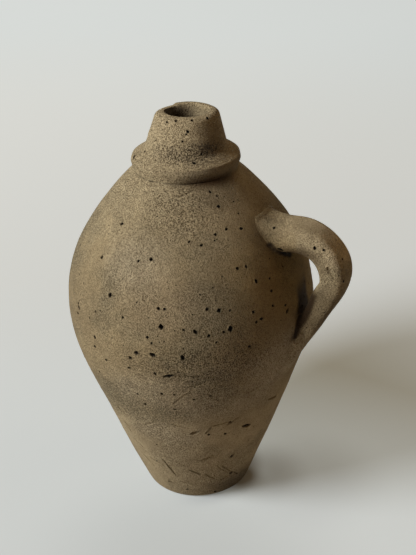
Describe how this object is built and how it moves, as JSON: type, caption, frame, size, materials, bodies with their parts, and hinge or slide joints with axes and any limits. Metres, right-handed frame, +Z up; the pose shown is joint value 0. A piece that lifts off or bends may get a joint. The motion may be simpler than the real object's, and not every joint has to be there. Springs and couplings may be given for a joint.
{
  "type": "one-handled clay jug",
  "caption": "Hollow unglazed clay jug with a narrow foot, round belly, collared neck with a thick lip and a strap handle from shoulder to belly.",
  "frame": {"origin": "centre of the resting face, on the axis of the body", "axes": "+Z up through the mouth, +X along the handle"},
  "size_m": [0.213, 0.1808, 0.3],
  "materials": {
    "clay": "unglazed sandy earthenware, matt, with open pores",
    "slip": "fired slip, matt, a little smoother than the clay"
  },
  "bodies": {
    "root": {"lower_body": "clay", "upper_body": "clay", "neck": "clay", "handle": "clay", "belly_luting": "slip", "neck_luting": "slip", "handle_upper_luting": "slip", "handle_lower_luting": "slip"}
  },
  "joints": []
}
